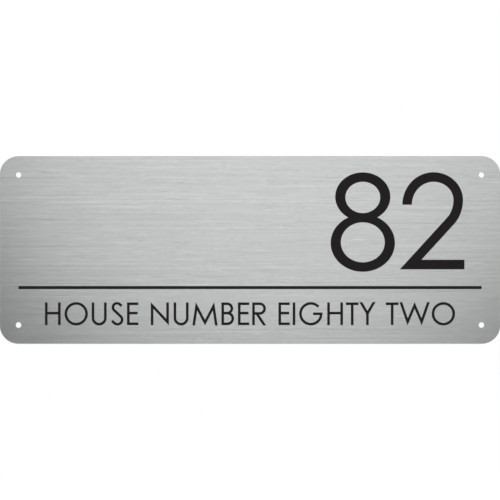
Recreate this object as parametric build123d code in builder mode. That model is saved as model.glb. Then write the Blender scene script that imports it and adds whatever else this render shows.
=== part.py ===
"""House number plaque: a flat steel plate with round corners, four screw holes
and a house number over a rule, both etched into the front and filled with black enamel.

The plate stands upright: +X is to the right, +Z is up and the front faces -Y.
The origin is the middle of the back face, which lies against the wall. Sizes are in millimetres.
"""
import os
from math import asin, atan2, cos, degrees, hypot, sin, tan

from build123d import *

# Plate
PLATE_WIDTH = 400.0
PLATE_HEIGHT = 150.0
PLATE_THICKNESS = 2.0
CORNER_RADIUS = 15.0
EDGE_BREAK = 0.25

# Screw holes, one in each corner, with the front mouth deburred
HOLE_DIAMETER = 4.5
HOLE_INSET = 15.0
HOLE_BREAK = 0.2

# Etching and its enamel, which cures to just under the face
ETCH_DEPTH = 0.3
FILL_SHRINK = 0.05

# Rule below the number, from one column of holes to the other
RULE_RISE = 45.0
RULE_WIDTH = 2.45

# Number: its baseline is measured from the lower edge, its end from the right edge
BASELINE_RISE = 59.55
NUMBER_END_INSET = 28.7
NUMERAL_GAP = 3.85

# Numeral eight: two oval counters, given by width and height, in bowls that are thicker at their
# sides than at their crowns and waist; each bowl reaches a little past its counter at the waist
LOWER_COUNTER = (35.1, 31.95)
UPPER_COUNTER = (27.8, 25.0)
EIGHT_SIDE = 8.15
EIGHT_CROWN = 7.55
EIGHT_WAIST = 7.4
WAIST_REACH = 6.45
EIGHT_OVERSHOOT = 1.95

# Numeral two: a crown, a turn on its right into a leg at a tangent to it, and a flat foot. On its
# left the crown comes down to a square end. Crown and turn are quarter ovals, given by half axes of
# the stroke's middle line, and rise, fall and drop are from the turn's widest line
TWO_STROKE = 7.65
TWO_HEIGHT = 77.6
TWO_CROWN_FROM_TOE = 26.95
TWO_CROWN_RISE = 18.45
TWO_TURN_WIDTH = 19.75
TWO_TURN_FALL = 22.95
TWO_END_REACH = 21.1
TWO_END_DROP = 3.7
TWO_FOOT_LENGTH = 51.65

# Places worked out from the sizes above
BACK_FACE = Plane.XZ
FRONT_FACE = Plane.XZ.offset(PLATE_THICKNESS)
FILL_DEPTH = ETCH_DEPTH - FILL_SHRINK
HOLE_SPAN_X = PLATE_WIDTH - 2 * HOLE_INSET
HOLE_SPAN_Z = PLATE_HEIGHT - 2 * HOLE_INSET
RULE_Z = RULE_RISE - PLATE_HEIGHT / 2
BASELINE_Z = BASELINE_RISE - PLATE_HEIGHT / 2
TWO_TOE_X = PLATE_WIDTH / 2 - NUMBER_END_INSET - TWO_FOOT_LENGTH
EIGHT_X = TWO_TOE_X - NUMERAL_GAP - EIGHT_SIDE - max(LOWER_COUNTER[0], UPPER_COUNTER[0]) / 2


def etch_floor(x, z):
    """Plane of the etched floor, facing forward, with its origin at x and z."""
    return Plane(origin=(x, ETCH_DEPTH - PLATE_THICKNESS, z), x_dir=(1, 0, 0), z_dir=(0, -1, 0))


# Outline of the eight, upwards from the foot of its lower bowl
eight_foot = -EIGHT_OVERSHOOT
lower_counter_z = eight_foot + EIGHT_CROWN + LOWER_COUNTER[1] / 2
waist_z = lower_counter_z + LOWER_COUNTER[1] / 2
upper_counter_z = waist_z + EIGHT_WAIST + UPPER_COUNTER[1] / 2
eight_top = upper_counter_z + UPPER_COUNTER[1] / 2 + EIGHT_CROWN
lower_bowl = (eight_foot, waist_z + WAIST_REACH, LOWER_COUNTER[0])
upper_bowl = (waist_z + EIGHT_WAIST - WAIST_REACH, eight_top, UPPER_COUNTER[0])

with BuildSketch(etch_floor(EIGHT_X, BASELINE_Z)) as eight_outline:
    for bottom, top, counter_width in (lower_bowl, upper_bowl):
        with Locations((0, (bottom + top) / 2)):
            Ellipse(counter_width / 2 + EIGHT_SIDE, (top - bottom) / 2)
    for centre, (width, height) in ((lower_counter_z, LOWER_COUNTER), (upper_counter_z, UPPER_COUNTER)):
        with Locations((0, centre)):
            Ellipse(width / 2, height / 2, mode=Mode.SUBTRACT)

# Outline of the two, from its toe on the baseline. The leg's upper side runs from the toe at
# a tangent to the turn's inner side. The tangent is found with heights scaled so that this side
# is round, and its slope is scaled back
half_stroke = TWO_STROKE / 2
inner_width, outer_width = TWO_TURN_WIDTH - half_stroke, TWO_TURN_WIDTH + half_stroke
inner_reach, outer_reach = TWO_END_REACH - half_stroke, TWO_END_REACH + half_stroke
inner_rise, outer_rise = TWO_CROWN_RISE - half_stroke, TWO_CROWN_RISE + half_stroke
inner_fall, outer_fall = TWO_TURN_FALL - half_stroke, TWO_TURN_FALL + half_stroke
crown_x = TWO_CROWN_FROM_TOE
turn_z = TWO_HEIGHT - outer_rise
end_z = turn_z - TWO_END_DROP
turn_middle, end_middle = (crown_x, turn_z), (crown_x, end_z)
round_z = turn_z * inner_width / inner_fall
round_slope = atan2(round_z, crown_x) - asin(inner_width / hypot(crown_x, round_z))
slope = atan2(inner_fall * sin(round_slope), inner_width * cos(round_slope))


def leaving(width, fall):
    """Angle on a side of the turn at which the leg leaves it, and the point there."""
    angle = atan2(-fall * cos(slope), width * sin(slope))
    return degrees(angle), (crown_x + width * cos(angle), turn_z + fall * sin(angle))


inner_angle, inner_tangent = leaving(inner_width, inner_fall)
outer_angle, outer_tangent = leaving(outer_width, outer_fall)
crotch = (outer_tangent[0] - (outer_tangent[1] - TWO_STROKE) / tan(slope), TWO_STROKE)

with BuildSketch(etch_floor(TWO_TOE_X, BASELINE_Z)) as two_outline:
    with BuildLine():
        Line((0, 0), inner_tangent)
        EllipticalCenterArc(turn_middle, inner_width, inner_fall, inner_angle, arc_size=-inner_angle)
        EllipticalCenterArc(turn_middle, inner_width, inner_rise, arc_size=90)
        EllipticalCenterArc(end_middle, inner_reach, inner_rise + TWO_END_DROP, 90, arc_size=90)
        Line((crown_x - inner_reach, end_z), (crown_x - outer_reach, end_z))
        EllipticalCenterArc(end_middle, outer_reach, outer_rise + TWO_END_DROP, 90, arc_size=90)
        EllipticalCenterArc(turn_middle, outer_width, outer_rise, arc_size=90)
        EllipticalCenterArc(turn_middle, outer_width, outer_fall, outer_angle, arc_size=-outer_angle)
        Polyline(outer_tangent, crotch, (TWO_FOOT_LENGTH, TWO_STROKE), (TWO_FOOT_LENGTH, 0), (0, 0))
    make_face()

with BuildSketch(etch_floor(0, RULE_Z)) as rule_outline:
    Rectangle(HOLE_SPAN_X, RULE_WIDTH)

# Plate: blanked, its edges broken, drilled from the front and etched
with BuildPart() as plate:
    with BuildSketch(BACK_FACE):
        RectangleRounded(PLATE_WIDTH, PLATE_HEIGHT, CORNER_RADIUS)
    extrude(amount=PLATE_THICKNESS)
    rims = plate.edges().group_by(Axis.Y)
    chamfer(rims[0] + rims[-1], length=EDGE_BREAK)
    with Locations(FRONT_FACE):
        with GridLocations(HOLE_SPAN_X, HOLE_SPAN_Z, 2, 2):
            CounterSinkHole(HOLE_DIAMETER / 2, HOLE_DIAMETER / 2 + HOLE_BREAK, counter_sink_angle=90)
    for outline in (eight_outline, two_outline, rule_outline):
        extrude(outline.sketch, amount=ETCH_DEPTH, mode=Mode.SUBTRACT)

# Enamel: each etched figure is filled from its floor up
with BuildPart() as numeral_eight:
    extrude(eight_outline.sketch, amount=FILL_DEPTH)

with BuildPart() as numeral_two:
    extrude(two_outline.sketch, amount=FILL_DEPTH)

with BuildPart() as rule_line:
    extrude(rule_outline.sketch, amount=FILL_DEPTH)

pieces = {
    "plate": plate,
    "numeral_eight": numeral_eight,
    "numeral_two": numeral_two,
    "rule_line": rule_line,
}
os.makedirs("parts", exist_ok=True)
for name, piece in pieces.items():
    piece.part.label = name
    export_step(piece.part, f"parts/{name}.step")
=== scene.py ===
"""Looks of the house number plaque: brushed steel, black enamel, a line of lettering and a studio."""
import logging
import math
from dataclasses import dataclass, field
from enum import Enum
from typing import Any

import bmesh
import bpy
from mathutils import Matrix, Vector


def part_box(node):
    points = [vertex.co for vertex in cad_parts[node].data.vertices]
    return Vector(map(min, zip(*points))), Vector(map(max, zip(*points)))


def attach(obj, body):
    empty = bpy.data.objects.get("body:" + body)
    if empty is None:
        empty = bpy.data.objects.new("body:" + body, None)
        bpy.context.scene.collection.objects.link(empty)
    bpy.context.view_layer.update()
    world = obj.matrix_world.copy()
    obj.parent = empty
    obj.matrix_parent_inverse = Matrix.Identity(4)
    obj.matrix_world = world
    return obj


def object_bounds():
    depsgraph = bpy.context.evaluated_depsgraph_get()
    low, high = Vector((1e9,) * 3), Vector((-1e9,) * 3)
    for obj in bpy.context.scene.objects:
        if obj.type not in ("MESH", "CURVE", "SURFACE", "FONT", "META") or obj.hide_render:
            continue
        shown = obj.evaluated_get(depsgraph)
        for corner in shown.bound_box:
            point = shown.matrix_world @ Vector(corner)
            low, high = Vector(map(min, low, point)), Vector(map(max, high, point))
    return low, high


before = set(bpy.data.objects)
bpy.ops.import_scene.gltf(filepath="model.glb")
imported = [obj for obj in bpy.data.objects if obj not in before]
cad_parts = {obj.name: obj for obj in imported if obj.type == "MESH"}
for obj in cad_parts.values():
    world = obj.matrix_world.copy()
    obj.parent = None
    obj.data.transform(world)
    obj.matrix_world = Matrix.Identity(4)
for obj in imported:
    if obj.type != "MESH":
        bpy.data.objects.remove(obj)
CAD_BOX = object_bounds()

Tree = bpy.types.NodeTree
Socket = bpy.types.NodeSocket

LOG = logging.getLogger("plaque")
MM = 0.001

# Middle of the range from 0 to 1 in which noise and mixing work
MIDDLE = 0.5

# The Mix node calls its inputs A and B for every type of data, so its sockets go by number
NUMBER_A, NUMBER_B = 2, 3
COLOUR_A, COLOUR_B = 6, 7
MIXED_COLOUR = 2


def linear(hex_code: str) -> tuple[float, float, float, float]:
    """Turn an sRGB hex colour into linear RGBA by the standard's own curve.

    Args:
        hex_code: Colour such as "#CBCCCB".

    Returns:
        Red, green, blue and an alpha of 1, in linear light.
    """
    channels = [int(hex_code[i:i + 2], 16) / 255 for i in (1, 3, 5)]
    red, green, blue = (c / 12.92 if c <= 0.04045 else ((c + 0.055) / 1.055) ** 2.4 for c in channels)
    return red, green, blue, 1.0


def add_node(tree: Tree, kind: str, inputs: dict[str | int, Any] | None = None,
             **settings: Any) -> bpy.types.Node:
    """Add a node with its settings, and set or link its inputs.

    Args:
        tree: Node tree that gets the node.
        kind: Blender's name for the node's type.
        inputs: Value or output socket for each input, by the input's name or number.
        **settings: Properties of the node.

    Returns:
        The new node.
    """
    node = tree.nodes.new(kind)
    for name, value in settings.items():
        setattr(node, name, value)
    for name, value in (inputs or {}).items():
        if isinstance(value, Socket):
            tree.links.new(value, node.inputs[name])
        else:
            node.inputs[name].default_value = value
    return node


def new_material(name: str) -> tuple[bpy.types.Material, Tree]:
    """Make a material with an empty node tree.

    Args:
        name: Name of the material.

    Returns:
        The material and its tree.
    """
    material = bpy.data.materials.new(name)
    material.use_nodes = True
    material.node_tree.nodes.clear()
    return material, material.node_tree


def seen_straight(tree: Tree) -> Socket:
    """Add nodes that tell what is seen straight or in metal and glass from what only gives light.

    Args:
        tree: Tree of the material or of the world.

    Returns:
        1 for camera, glossy and transmission rays, and 0 for all others.
    """
    path = add_node(tree, "ShaderNodeLightPath").outputs
    seen = path["Is Camera Ray"]
    for kind in ("Is Glossy Ray", "Is Transmission Ray"):
        seen = add_node(tree, "ShaderNodeMath", {0: seen, 1: path[kind]}, operation="MAXIMUM").outputs[0]
    return seen


def add_object(name: str, data: bpy.types.ID) -> bpy.types.Object:
    """Put a new object into the scene.

    Args:
        name: Name of the object.
        data: Its mesh, curve or camera.

    Returns:
        The object.
    """
    thing = bpy.data.objects.new(name, data)
    bpy.context.scene.collection.objects.link(thing)
    return thing


def dress(piece: bpy.types.Object, material: bpy.types.Material) -> None:
    """Give a piece one material in place of what it has."""
    piece.data.materials.clear()
    piece.data.materials.append(material)


@dataclass(frozen=True)
class BrushedStainlessSteel:
    """Stainless sheet, belt-ground lengthwise on the front, with a rolled back and sawn edges.

    The belt leaves hairlines along X, so the front spreads reflections up and down and shows
    straight, faint, light and dark streaks of uneven length. The back keeps the rolled sheet's
    even, greyer skin, and the cut edges are duller. Real hairlines are about 0.1 mm wide: the
    broadest streaks are drawn wider, so that they show.

    Streaks come in bundles, and a line runs on through several of them. Each length of bundle
    adds its share to the lightness. A face is front or back when it looks that way squarely
    enough to pass the face limit, and edge if not.
    """

    light: str = "#DADCDB"
    dark: str = "#C1C3C3"
    back_light: str = "#C9CBCA"
    back_dark: str = "#B7B9B9"
    edge_light: str = "#BCBDBC"
    edge_dark: str = "#A6A7A6"
    roughness: float = 0.22
    back_roughness: float = 0.27
    edge_roughness: float = 0.45
    roughness_swing: float = 0.03
    cloud_mm: float = 25.0
    anisotropy: float = 0.6
    brushing_turn: float = 0.25
    streak_lengths_mm: tuple[float, ...] = (220.0, 70.0, 16.0, 4.0)
    streak_width_mm: float = 2.1
    streak_share: float = 9.8
    roll_lengths_mm: tuple[float, ...] = (300.0, 60.0, 12.0)
    roll_width_mm: float = 3.2
    bundles_to_a_line: float = 6.0
    line_detail: float = 4.0
    line_roughness: float = 0.8
    fade_detail: float = 1.0
    fade_roughness: float = 0.5
    seed: float = 0.3
    hairline_mm: tuple[float, float] = (30.0, 1.2)
    hairline_depth_mm: float = 0.004
    hairline_strength: float = 0.5
    saw_mark_mm: float = 0.4
    face_limit: float = 0.9

    def streaks(self, tree: Tree, coords: Socket, length_mm: float, width_mm: float) -> Socket:
        """Add straight lines along X, which fade in and out in bundles.

        Args:
            tree: Tree of the material.
            coords: Object coordinates.
            length_mm: Length of a bundle, which also sets its lines apart from those of other lengths.
            width_mm: Width of a bundle and of its broadest lines, between which finer ones lie.

        Returns:
            Lightness from about -0.1 to 0.1.
        """
        layer = length_mm + self.seed
        lines = (length_mm * self.bundles_to_a_line, layer, self.line_detail, self.line_roughness)
        fade = (length_mm, -layer, self.fade_detail, self.fade_roughness)
        signed = []
        for reach_mm, slice_at, detail, roughness in (lines, fade):
            place = add_node(tree, "ShaderNodeMapping", {
                "Vector": coords, "Location": (0.0, slice_at, 0.0),
                "Scale": (1 / (reach_mm * MM), 0.0, 1 / (width_mm * MM))})
            noise = add_node(tree, "ShaderNodeTexNoise", {
                "Vector": place.outputs[0], "Scale": 1.0, "Detail": detail, "Roughness": roughness})
            signed.append(add_node(tree, "ShaderNodeMath", {
                0: noise.outputs["Fac"], 1: MIDDLE}, operation="SUBTRACT").outputs[0])
        return add_node(tree, "ShaderNodeMath", {
            0: signed[0], 1: signed[1]}, operation="MULTIPLY").outputs[0]

    def grain(self, tree: Tree, coords: Socket, lengths_mm: tuple[float, ...],
              width_mm: float) -> Socket:
        """Add up streaks of several lengths.

        Args:
            tree: Tree of the material.
            coords: Object coordinates.
            lengths_mm: Lengths of the streaks.
            width_mm: Width of their bundles.

        Returns:
            Lightness about a middle of 0.5.
        """
        lightness: float | Socket = MIDDLE
        for length in lengths_mm:
            streak = self.streaks(tree, coords, length, width_mm)
            lightness = add_node(tree, "ShaderNodeMath", {
                0: streak, 1: self.streak_share, 2: lightness}, operation="MULTIPLY_ADD").outputs[0]
        return lightness

    def saw_marks(self, tree: Tree, coords: Socket) -> Socket:
        """Add marks that run across the cut edges.

        Args:
            tree: Tree of the material.
            coords: Object coordinates.

        Returns:
            Lightness from 0 to 1.
        """
        across = (1 / (self.saw_mark_mm * MM), 0.0, 1 / (self.saw_mark_mm * MM))
        cut = add_node(tree, "ShaderNodeMapping", {"Vector": coords, "Scale": across})
        marks = add_node(tree, "ShaderNodeTexNoise", {"Vector": cut.outputs[0], "Scale": 1.0})
        return marks.outputs["Fac"]

    def colour(self, tree: Tree, coords: Socket, is_front: Socket, is_back: Socket) -> Socket:
        """Colour the front by its streaks, the back by faint roll lines and the edges by saw marks.

        Args:
            tree: Tree of the material.
            coords: Object coordinates.
            is_front: 1 on the front.
            is_back: 1 on the back.

        Returns:
            The colour.
        """
        streaks = self.grain(tree, coords, self.streak_lengths_mm, self.streak_width_mm)
        roll_lines = self.grain(tree, coords, self.roll_lengths_mm, self.roll_width_mm)
        marks = self.saw_marks(tree, coords)
        skins = []
        for pattern, dark, light in ((streaks, self.dark, self.light),
                                     (roll_lines, self.back_dark, self.back_light),
                                     (marks, self.edge_dark, self.edge_light)):
            skin = add_node(tree, "ShaderNodeMix", {
                "Factor": pattern, COLOUR_A: linear(dark), COLOUR_B: linear(light)}, data_type="RGBA")
            skins.append(skin.outputs[MIXED_COLOUR])
        front, back, edge = skins
        rest = add_node(tree, "ShaderNodeMix", {
            "Factor": is_back, COLOUR_A: edge, COLOUR_B: back}, data_type="RGBA")
        return add_node(tree, "ShaderNodeMix", {
            "Factor": is_front, COLOUR_A: rest.outputs[MIXED_COLOUR], COLOUR_B: front},
            data_type="RGBA").outputs[MIXED_COLOUR]

    def gloss(self, tree: Tree, coords: Socket, is_front: Socket, is_back: Socket) -> Socket:
        """Give each side its roughness, which drifts a little from place to place.

        Args:
            tree: Tree of the material.
            coords: Object coordinates.
            is_front: 1 on the front.
            is_back: 1 on the back.

        Returns:
            The roughness.
        """
        cloud = add_node(tree, "ShaderNodeTexNoise", {
            "Vector": coords, "Scale": 1 / (self.cloud_mm * MM)})
        drift = add_node(tree, "ShaderNodeMapRange", {
            "Value": cloud.outputs["Fac"], "To Min": -self.roughness_swing / 2,
            "To Max": self.roughness_swing / 2})
        rest = add_node(tree, "ShaderNodeMix", {
            "Factor": is_back, NUMBER_A: self.edge_roughness, NUMBER_B: self.back_roughness})
        side = add_node(tree, "ShaderNodeMix", {
            "Factor": is_front, NUMBER_A: rest.outputs[0], NUMBER_B: self.roughness})
        return add_node(tree, "ShaderNodeMath", {0: side.outputs[0], 1: drift.outputs[0]}).outputs[0]

    def relief(self, tree: Tree, coords: Socket, is_front: Socket) -> Socket:
        """Raise hairlines on the front.

        Args:
            tree: Tree of the material.
            coords: Object coordinates.
            is_front: 1 on the front.

        Returns:
            The normal.
        """
        hairs = self.streaks(tree, coords, *self.hairline_mm)
        height = add_node(tree, "ShaderNodeMath", {0: hairs, 1: is_front}, operation="MULTIPLY")
        return add_node(tree, "ShaderNodeBump", {
            "Height": height.outputs[0], "Strength": self.hairline_strength,
            "Distance": self.hairline_depth_mm * MM}).outputs[0]

    def material(self) -> bpy.types.Material:
        """Build the steel's material, whose reflections a quarter turn of anisotropy spreads along Z.

        Returns:
            The material, which tells front, back and edges apart by the way they face.
        """
        material, tree = new_material("brushed_stainless_steel")
        place = add_node(tree, "ShaderNodeTexCoord").outputs
        coords = place["Object"]
        facing = add_node(tree, "ShaderNodeSeparateXYZ", {0: place["Normal"]}).outputs["Y"]
        front = add_node(tree, "ShaderNodeMath", {
            0: facing, 1: -self.face_limit}, operation="LESS_THAN")
        back = add_node(tree, "ShaderNodeMath", {
            0: facing, 1: self.face_limit}, operation="GREATER_THAN")
        sides = front.outputs[0], back.outputs[0]
        shader = add_node(tree, "ShaderNodeBsdfPrincipled", {
            "Base Color": self.colour(tree, coords, *sides), "Metallic": 1.0,
            "Roughness": self.gloss(tree, coords, *sides), "Anisotropic": self.anisotropy,
            "Anisotropic Rotation": self.brushing_turn, "Normal": self.relief(tree, coords, sides[0])})
        add_node(tree, "ShaderNodeOutputMaterial", {"Surface": shader.outputs[0]})
        return material


@dataclass(frozen=True)
class BlackEnamel:
    """Black stoving enamel, flowed on and baked: an even, deep black with a soft, low sheen."""

    dark: str = "#1E1A1B"
    light: str = "#231F20"
    roughness: tuple[float, float] = (0.38, 0.5)
    specular: float = 0.12
    mottle_mm: float = 6.0
    ripple_mm: float = 1.5
    ripple_depth_mm: float = 0.002
    ripple_strength: float = 0.3

    def material(self) -> bpy.types.Material:
        """Build the enamel's material: a faint mottle of colour and gloss, and the ripple it dried with.

        Returns:
            The material.
        """
        material, tree = new_material("black_stoving_enamel")
        coords = add_node(tree, "ShaderNodeTexCoord").outputs["Object"]
        mottle = add_node(tree, "ShaderNodeTexNoise", {
            "Vector": coords, "Scale": 1 / (self.mottle_mm * MM)}).outputs["Fac"]
        colour = add_node(tree, "ShaderNodeMix", {
            "Factor": mottle, COLOUR_A: linear(self.dark), COLOUR_B: linear(self.light)},
            data_type="RGBA")
        rough = add_node(tree, "ShaderNodeMapRange", {
            "Value": mottle, "To Min": self.roughness[0], "To Max": self.roughness[1]})
        ripple = add_node(tree, "ShaderNodeTexNoise", {
            "Vector": coords, "Scale": 1 / (self.ripple_mm * MM)})
        bump = add_node(tree, "ShaderNodeBump", {
            "Height": ripple.outputs["Fac"], "Strength": self.ripple_strength,
            "Distance": self.ripple_depth_mm * MM})
        shader = add_node(tree, "ShaderNodeBsdfPrincipled", {
            "Base Color": colour.outputs[MIXED_COLOUR], "Roughness": rough.outputs[0],
            "Specular IOR Level": self.specular, "Normal": bump.outputs[0]})
        add_node(tree, "ShaderNodeOutputMaterial", {"Surface": shader.outputs[0]})
        return material


@dataclass
class Plate:
    """The steel plate, which keeps its solid shape."""

    node: str = "plate"
    finish: BrushedStainlessSteel = field(default_factory=BrushedStainlessSteel)

    def build(self) -> list[bpy.types.Object]:
        """Dress the plate in brushed steel.

        Returns:
            The plate.
        """
        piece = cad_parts[self.node]
        dress(piece, self.finish.material())
        return [piece]


@dataclass
class NumberFill:
    """The enamel in the etched number and rule, which keep their solid shapes."""

    enamel: bpy.types.Material
    nodes: tuple[str, ...] = ("numeral_eight", "numeral_two", "rule_line")

    def build(self) -> list[bpy.types.Object]:
        """Dress each filling in black enamel.

        Returns:
            The fillings.
        """
        pieces = [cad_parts[node] for node in self.nodes]
        for piece in pieces:
            dress(piece, self.enamel)
        return pieces


class Side(Enum):
    """Room that a letter keeps at its side, in cap heights."""

    STEM = 0.115
    BOWL = 0.075
    OPEN = 0.035


@dataclass
class Glyph:
    """One letter: its width, the kinds of its two sides and its pen strokes, in cap heights."""

    width: float
    left: Side
    right: Side
    strokes: list[list[Vector]]


@dataclass
class Capitals:
    """Light, round capitals, drawn as the middle lines of pen strokes.

    Lengths are in cap heights, from the letter's left side and the baseline. Strokes that end on
    a slope run on past the cap line or the baseline, where the enamel's slab trims them level.
    Each arc of the S is given by its centre and radius, and the R's leg by where it starts on the
    waist and where its foot stands.
    """

    pen: float
    overshoot: float = 0.015
    run_on: float = 0.15
    waist: float = 0.53
    slant_inset: float = 0.06
    h_width: float = 0.695
    e_width: float = 0.5
    e_middle_arm: float = 0.47
    t_width: float = 0.555
    n_width: float = 0.8
    m_width: float = 1.11
    m_splay: float = 0.15
    w_width: float = 1.33
    w_valley: float = 0.35
    y_width: float = 0.69
    y_fork: float = 0.4
    y_stem: float = 0.5
    u_width: float = 0.66
    b_width: float = 0.56
    b_step: float = 0.04
    r_width: float = 0.61
    r_bowl: float = 0.605
    r_waist: float = 0.516
    r_leg: tuple[float, float] = (0.2, 0.54)
    s_width: float = 0.56
    s_upper: tuple[float, float, float] = (0.289, 0.785, 0.18)
    s_lower: tuple[float, float, float] = (0.308, 0.24, 0.204)
    s_tails: tuple[float, float] = (0.118, 0.138)
    s_ends_deg: tuple[float, float] = (50.0, -135.0)
    g_mouth_deg: float = 42.0
    g_bar: float = 0.1
    arc_step_deg: float = 6.0
    corner_passes: int = 6

    @property
    def half(self) -> float:
        """Half the pen's width."""
        return self.pen / 2

    def arc(self, x: float, y: float, radius: float, start: float, end: float) -> list[Vector]:
        """Give points on a circle.

        Args:
            x: Centre of the circle.
            y: Centre of the circle.
            radius: Radius of the circle.
            start: First angle in degrees, from +X towards +Y.
            end: Last angle in degrees.

        Returns:
            Points from start to end.
        """
        count = max(2, round(abs(end - start) / self.arc_step_deg))
        angles = [math.radians(start + (end - start) * i / count) for i in range(count + 1)]
        return [Vector((x + radius * math.cos(a), y + radius * math.sin(a))) for a in angles]

    def line(self, *points: tuple[float, float]) -> list[Vector]:
        """Give a stroke of straight runs through the points."""
        return [Vector(point) for point in points]

    def pointed(self, *tips: tuple[float, float], head: float = 0.0, foot: float = 0.0) -> list[Vector]:
        """Give the middle line of a zigzag whose sharp corners reach the given tips.

        Args:
            *tips: The two ends of the line, and between them the tips of its corners.
            head: How far the first end runs on past its point.
            foot: How far the last end runs on past its point.

        Returns:
            Points of the middle line.
        """
        marks = self.line(*tips)
        points = self.line(*tips)
        for _ in range(self.corner_passes):
            for i in range(1, len(points) - 1):
                to_last = (points[i - 1] - points[i]).normalized()
                to_next = (points[i + 1] - points[i]).normalized()
                reach = self.half / math.sin(to_last.angle(to_next) / 2)
                points[i] = marks[i] + (to_last + to_next).normalized() * reach
        points[0] += (points[0] - points[1]).normalized() * head
        points[-1] += (points[-1] - points[-2]).normalized() * foot
        return points

    def bowl(self, top: float, bottom: float, right: float) -> list[Vector]:
        """Give a bowl from the stem at the left, round and back to it.

        Args:
            top: Height of the upper run.
            bottom: Height of the lower run.
            right: Furthest reach of the bowl's middle line.

        Returns:
            Points of the stroke.
        """
        radius = (top - bottom) / 2
        bend = self.arc(right - radius, bottom + radius, radius, 90, -90)
        return self.line((self.half, top)) + bend + self.line((self.half, bottom))

    def snake(self) -> list[Vector]:
        """Give the S: two arcs joined by the tangent that crosses between them, with straight tails.

        Returns:
            Points of the stroke, from its upper end.
        """
        *upper, upper_radius = self.s_upper
        *lower, lower_radius = self.s_lower
        start, end = self.s_ends_deg
        between = Vector(lower) - Vector(upper)
        lean = math.degrees(math.acos((upper_radius + lower_radius) / between.length))
        turn = math.degrees(math.atan2(between.y, between.x)) - lean
        first = self.arc(*upper, upper_radius, start, 360 + turn)
        second = self.arc(*lower, lower_radius, 180 + turn, end)
        ways = [Vector((math.sin(a), -math.cos(a))) for a in (math.radians(start), math.radians(end))]
        head = first[0] + ways[0] * self.s_tails[0]
        tail = second[-1] + ways[1] * self.s_tails[1]
        return [head] + first + second + [tail]

    def straight_letters(self) -> dict[str, Glyph]:
        """Draw the letters of upright and level strokes.

        Returns:
            A glyph for each letter.
        """
        half, cap = self.half, 1 - self.half
        stem = self.line((half, 0), (half, 1))
        h_right, t_middle = self.h_width - half, self.t_width / 2
        return {
            "H": Glyph(self.h_width, Side.STEM, Side.STEM, [
                stem, self.line((h_right, 0), (h_right, 1)),
                self.line((half, self.waist), (h_right, self.waist))]),
            "E": Glyph(self.e_width, Side.STEM, Side.OPEN, [
                self.line((self.e_width, cap), (half, cap), (half, half), (self.e_width, half)),
                self.line((half, self.waist), (self.e_middle_arm, self.waist))]),
            "I": Glyph(self.pen, Side.STEM, Side.STEM, [stem]),
            "T": Glyph(self.t_width, Side.OPEN, Side.OPEN, [
                self.line((0, cap), (self.t_width, cap)), self.line((t_middle, 0), (t_middle, cap))]),
        }

    def slanted_letters(self) -> dict[str, Glyph]:
        """Draw the letters that have sloping strokes and sharp corners.

        Returns:
            A glyph for each letter.
        """
        half, inset = self.half, self.slant_inset
        high, low = 1 + self.overshoot, -self.overshoot
        ends = {"head": self.run_on, "foot": self.run_on}
        n, m, w, y = self.n_width, self.m_width, self.w_width, self.y_width
        return {
            "N": Glyph(n, Side.STEM, Side.STEM, [
                self.pointed((half, 0), (0, high), (n, low), (n - half, 1))]),
            "M": Glyph(m, Side.BOWL, Side.BOWL, [
                self.pointed((half, 0), (self.m_splay, high), (m / 2, low), (m - self.m_splay, high),
                             (m - half, 0), **ends)]),
            "W": Glyph(w, Side.OPEN, Side.OPEN, [
                self.pointed((inset, 1), (self.w_valley, low), (w / 2, high), (w - self.w_valley, low),
                             (w - inset, 1), **ends)]),
            "Y": Glyph(y, Side.OPEN, Side.OPEN, [
                self.pointed((inset, 1), (y / 2, self.y_fork), (y - inset, 1), **ends),
                self.line((y / 2, 0), (y / 2, self.y_stem))]),
        }

    def round_letters(self) -> dict[str, Glyph]:
        """Draw the letters that have rings, bowls and bends.

        Returns:
            A glyph for each letter.
        """
        half, cap = self.half, 1 - self.half
        stem = self.line((half, 0), (half, 1))
        centre = 0.5
        radius = centre + self.overshoot
        ring = radius - half
        u_middle = self.u_width / 2
        u_bend = self.arc(u_middle, u_middle - self.overshoot, u_middle - half, 180, 360)
        b_right, r_right = self.b_width - half, self.r_bowl - half
        r_start, r_foot = self.r_leg
        return {
            "O": Glyph(2 * radius, Side.BOWL, Side.BOWL, [self.arc(radius, centre, ring, 0, 360)]),
            "G": Glyph(2 * radius, Side.BOWL, Side.STEM, [
                self.arc(radius, centre, ring, self.g_mouth_deg, 360)
                + self.line((radius + self.g_bar, centre))]),
            "U": Glyph(self.u_width, Side.STEM, Side.STEM, [
                self.line((half, 1)) + u_bend + self.line((self.u_width - half, 1))]),
            "S": Glyph(self.s_width, Side.BOWL, Side.BOWL, [self.snake()]),
            "B": Glyph(self.b_width, Side.STEM, Side.BOWL, [
                self.bowl(cap, self.waist, b_right - self.b_step),
                self.line((half, 1)) + self.bowl(self.waist, half, b_right)[::-1]]),
            "R": Glyph(self.r_width, Side.STEM, Side.OPEN, [
                stem, self.bowl(cap, self.r_waist, r_right),
                self.pointed((r_start, self.r_waist), (r_foot, 0), foot=self.run_on)]),
        }

    def draw(self) -> dict[str, Glyph]:
        """Draw every letter that the line needs."""
        return self.straight_letters() | self.slanted_letters() | self.round_letters()


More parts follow.
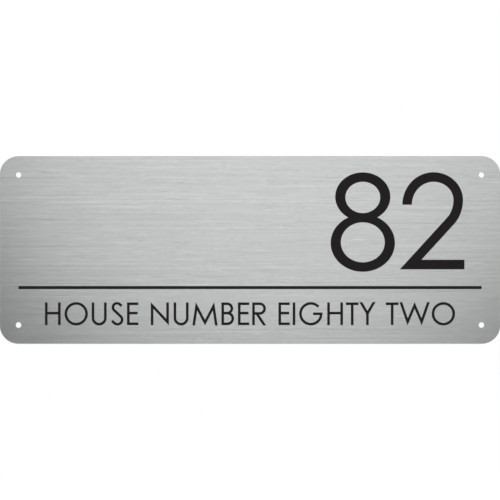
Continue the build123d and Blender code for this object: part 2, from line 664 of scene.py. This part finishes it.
@dataclass
class Lettering:
    """One line of enamel capitals below the rule, with its baseline level with the lower holes.

    The enamel is a film on the plate's front, sunk a hair into it so that no gap shows.
    """

    enamel: bpy.types.Material
    words: str = "HOUSE NUMBER EIGHTY TWO"
    cap_height_mm: float = 18.1
    stroke_mm: float = 2.1
    line_mm: float = 327.6
    baseline_rise_mm: float = 15.0
    word_space: float = 0.42
    film_mm: float = 0.05
    sunk_mm: float = 0.02
    ring_gap_mm: float = 0.01

    @property
    def capitals(self) -> Capitals:
        """Capitals for the width of the stroke."""
        return Capitals(pen=self.stroke_mm / self.cap_height_mm)

    def strokes(self) -> list[list[Vector]]:
        """Set the words in one line about the middle, evenly spaced to the line's length.

        Returns:
            Middle lines of all the pen strokes, in millimetres from the middle of the baseline.
        """
        glyphs = self.capitals.draw()
        placed: list[tuple[Glyph, float]] = []
        cursor = 0.0
        previous: Glyph | None = None
        for letter in self.words:
            if letter == " ":
                cursor += self.word_space
                continue
            glyph = glyphs[letter]
            if previous:
                cursor += previous.right.value + glyph.left.value
            placed.append((glyph, cursor))
            cursor += glyph.width
            previous = glyph
        tracking = (self.line_mm / self.cap_height_mm - cursor) / (len(placed) - 1)
        LOG.info("lettering: tracking %.3f cap heights", tracking)
        lines = []
        for i, (glyph, x) in enumerate(placed):
            offset = Vector(((x + i * tracking) * self.cap_height_mm - self.line_mm / 2, 0))
            for stroke in glyph.strokes:
                lines.append([offset + point * self.cap_height_mm for point in stroke])
        return lines

    def pen_path(self) -> bpy.types.Object:
        """Lay the strokes out as a curve whose radius widens at each corner, so that corners are mitred.

        A stroke that ends where it began becomes a closed ring.

        Returns:
            The curve, in millimetres.
        """
        curve = bpy.data.curves.new("lettering_path", "CURVE")
        curve.dimensions = "3D"
        for stroke in self.strokes():
            is_ring = (stroke[0] - stroke[-1]).length < self.ring_gap_mm
            places = stroke[:-1] if is_ring else stroke
            spline = curve.splines.new("POLY")
            spline.use_cyclic_u = is_ring
            spline.points.add(len(places) - 1)
            for i, (point, place) in enumerate(zip(spline.points, places)):
                point.co = (place.x, place.y, 0.0, 1.0)
                if is_ring or 0 < i < len(places) - 1:
                    turn = (place - places[i - 1]).angle(places[(i + 1) % len(places)] - place)
                    point.radius = 1 / math.cos(turn / 2)
        return add_object("lettering_path", curve)

    def tree(self) -> Tree:
        """Build the node tree that sweeps a pen along the path and keeps what lies in the enamel's slab.

        Returns:
            The tree, whose inputs are in millimetres apart from its place.
        """
        tree = bpy.data.node_groups.new("enamel_strokes", "GeometryNodeTree")
        sockets = {"Path": "Geometry", "Stroke Width": "Float", "Slab Size": "Vector",
                   "Slab Middle": "Vector", "Place": "Vector", "Enamel": "Material"}
        for name, kind in sockets.items():
            tree.interface.new_socket(name, in_out="INPUT", socket_type=f"NodeSocket{kind}")
        tree.interface.new_socket("Lettering", in_out="OUTPUT", socket_type="NodeSocketGeometry")
        given = add_node(tree, "NodeGroupInput").outputs
        pen = add_node(tree, "GeometryNodeCurvePrimitiveQuadrilateral", {
            "Width": given["Stroke Width"], "Height": given["Stroke Width"]})
        radius = add_node(tree, "GeometryNodeInputRadius")
        level = add_node(tree, "GeometryNodeSetCurveNormal", {"Curve": given["Path"]}, mode="Z_UP")
        swept = add_node(tree, "GeometryNodeCurveToMesh", {
            "Curve": level.outputs[0], "Profile Curve": pen.outputs[0], "Scale": radius.outputs[0],
            "Fill Caps": True})
        slab = add_node(tree, "GeometryNodeMeshCube", {"Size": given["Slab Size"]})
        film = add_node(tree, "GeometryNodeTransform", {
            "Geometry": slab.outputs["Mesh"], "Translation": given["Slab Middle"]})
        letters = add_node(tree, "GeometryNodeMeshBoolean", {
            "Mesh 2": swept.outputs[0], "Self Intersection": True},
            operation="INTERSECT", solver="EXACT")
        tree.links.new(film.outputs[0], letters.inputs["Mesh 2"])
        upright = add_node(tree, "GeometryNodeTransform", {
            "Geometry": letters.outputs[0], "Translation": given["Place"],
            "Rotation": (math.pi / 2, 0.0, 0.0), "Scale": (MM, MM, MM)})
        real = add_node(tree, "GeometryNodeRealizeInstances", {"Geometry": upright.outputs[0]})
        dressed = add_node(tree, "GeometryNodeSetMaterial", {
            "Geometry": real.outputs[0], "Material": given["Enamel"]})
        add_node(tree, "NodeGroupOutput", {0: dressed.outputs[0]})
        return tree

    def build(self) -> list[bpy.types.Object]:
        """Sweep the strokes into one mesh on the plate's front.

        Returns:
            The lettering.
        """
        low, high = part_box("plate")
        path = self.pen_path()
        modifier = path.modifiers.new("enamel_strokes", "NODES")
        modifier.node_group = self.tree()
        slab_height = self.cap_height_mm * (1 + 2 * self.capitals.overshoot)
        values = {
            "Stroke Width": self.stroke_mm,
            "Slab Size": (self.line_mm + self.cap_height_mm, slab_height, self.film_mm + self.sunk_mm),
            "Slab Middle": (0.0, self.cap_height_mm / 2, (self.film_mm - self.sunk_mm) / 2),
            "Place": ((low.x + high.x) / 2, low.y, low.z + self.baseline_rise_mm * MM),
            "Enamel": self.enamel,
        }
        for item in modifier.node_group.interface.items_tree:
            if item.name in values:
                modifier[item.identifier] = values[item.name]
        scene_state = bpy.context.evaluated_depsgraph_get()
        mesh = bpy.data.meshes.new_from_object(path.evaluated_get(scene_state), depsgraph=scene_state)
        mesh.name = "lettering"
        bpy.data.objects.remove(path)
        piece = add_object("lettering", mesh)
        dress(piece, self.enamel)
        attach(piece, "root")
        return [piece]


@dataclass(frozen=True)
class StudioPaper:
    """Pale floor paper, lifted to white for the eye, which still shows its shadow."""

    colour: str = "#F2F2F2"
    lift: float = 0.35

    def material(self) -> bpy.types.Material:
        """Build the paper's material: a matt sheet, with a glow for the eye and for reflections only.

        Returns:
            The material.
        """
        material, tree = new_material("pale_studio_paper")
        lift = add_node(tree, "ShaderNodeMath", {
            0: seen_straight(tree), 1: self.lift}, operation="MULTIPLY")
        glow = add_node(tree, "ShaderNodeEmission", {"Strength": lift.outputs[0]})
        paper = add_node(tree, "ShaderNodeBsdfDiffuse", {"Color": linear(self.colour)})
        both = add_node(tree, "ShaderNodeAddShader", {0: paper.outputs[0], 1: glow.outputs[0]})
        add_node(tree, "ShaderNodeOutputMaterial", {"Surface": both.outputs[0]})
        return material


@dataclass(frozen=True)
class LitDiffuser:
    """Lit cloth that glows most in its middle and not at all at its rim.

    Lengths are in metres from the middle. The glow sinks from its higher to its lower value
    across the spot, and goes out across the fade.
    """

    middle: Vector
    glow: tuple[float, float] = (1.09, 0.91)
    spot: float = 0.58
    fade: tuple[float, float] = (0.535, 0.733)

    def material(self) -> bpy.types.Material:
        """Build the cloth's material.

        Returns:
            The material.
        """
        material, tree = new_material("lit_diffuser")
        coords = add_node(tree, "ShaderNodeTexCoord").outputs["Object"]
        away = add_node(tree, "ShaderNodeVectorMath", {
            0: coords, 1: self.middle}, operation="DISTANCE")
        distance = away.outputs["Value"]
        spot = add_node(tree, "ShaderNodeMapRange", {
            "Value": distance, "From Max": self.spot, "To Min": self.glow[0],
            "To Max": self.glow[1]}, interpolation_type="SMOOTHSTEP")
        fade = add_node(tree, "ShaderNodeMapRange", {
            "Value": distance, "From Min": self.fade[0], "From Max": self.fade[1],
            "To Min": 1.0, "To Max": 0.0}, interpolation_type="SMOOTHSTEP")
        strength = add_node(tree, "ShaderNodeMath", {
            0: spot.outputs[0], 1: fade.outputs[0]}, operation="MULTIPLY")
        glow = add_node(tree, "ShaderNodeEmission", {"Strength": strength.outputs[0]})
        add_node(tree, "ShaderNodeOutputMaterial", {"Surface": glow.outputs[0]})
        return material


@dataclass
class Studio:
    """A pale floor, a white room, a round lit diffuser behind the camera and the camera.

    Lengths whose names give no unit are in metres. The frame share is the plate's width over the
    picture's.
    """

    floor_drop: float = 0.6
    floor_size: float = 6.0
    room_colour: str = "#FFFFFF"
    room_light: float = 0.8
    panel_distance: float = 1.5
    panel_radius: float = 0.9
    panel_segments: int = 96
    panel_middle: tuple[float, float] = (0.046, 0.341)
    lens_mm: float = 100.0
    sensor_mm: float = 36.0
    frame_share: float = 1.0015

    def floor(self) -> None:
        """Lay the floor below the plaque, which hangs on its wall at some height."""
        half = self.floor_size / 2
        height = CAD_BOX[0].z - self.floor_drop
        mesh = bpy.data.meshes.new("floor")
        corners = [(-half, -half), (half, -half), (half, half), (-half, half)]
        mesh.from_pydata([(x, y, height) for x, y in corners], [], [(0, 1, 2, 3)])
        floor = add_object("floor", mesh)
        dress(floor, StudioPaper().material())

    def panel(self) -> None:
        """Hang the round diffuser behind the camera, a little above the plate and facing it."""
        middle = Vector((self.panel_middle[0], -self.panel_distance, self.panel_middle[1]))
        facing = Matrix.Translation(middle) @ Matrix.Rotation(-math.pi / 2, 4, "X")
        mesh = bpy.data.meshes.new("panel")
        disc = bmesh.new()
        bmesh.ops.create_circle(
            disc, cap_ends=True, segments=self.panel_segments, radius=self.panel_radius, matrix=facing)
        disc.to_mesh(mesh)
        disc.free()
        panel = add_object("panel", mesh)
        dress(panel, LitDiffuser(middle).material())
        panel.visible_camera = False

    def room(self) -> None:
        """Make the room white to the eye and in reflections, and a little dimmer as a light."""
        world = bpy.data.worlds.new("white_room")
        bpy.context.scene.world = world
        world.use_nodes = True
        tree = world.node_tree
        tree.nodes.clear()
        strength = add_node(tree, "ShaderNodeMapRange", {
            "Value": seen_straight(tree), "To Min": self.room_light, "To Max": 1.0})
        sky = add_node(tree, "ShaderNodeBackground", {
            "Color": linear(self.room_colour), "Strength": strength.outputs[0]})
        add_node(tree, "ShaderNodeOutputWorld", {"Surface": sky.outputs[0]})

    def camera(self) -> None:
        """Set a long lens square on to the front, so that the plate fills the picture's width."""
        low, high = CAD_BOX
        data = bpy.data.cameras.new("camera")
        data.lens = self.lens_mm
        data.sensor_width = self.sensor_mm
        camera = add_object("camera", data)
        distance = (high.x - low.x) / self.frame_share * self.lens_mm / self.sensor_mm
        camera.location = ((low.x + high.x) / 2, low.y - distance, (low.z + high.z) / 2)
        camera.rotation_euler = (math.pi / 2, 0.0, 0.0)
        bpy.context.scene.camera = camera

    def build(self) -> None:
        """Set up floor, light and camera."""
        self.floor()
        self.panel()
        self.room()
        self.camera()
        bpy.context.scene.view_settings.view_transform = "Standard"


def main() -> None:
    """Build and dress the plaque, then the studio, and note the sizes."""
    logging.basicConfig(level=logging.INFO, format="%(message)s")
    enamel = BlackEnamel().material()
    for part in (Plate(), NumberFill(enamel), Lettering(enamel)):
        for piece in part.build():
            LOG.info("%s: %s, %d faces", type(part).__name__, piece.name, len(piece.data.polygons))
    Studio().build()


if __name__ == "__main__":
    main()
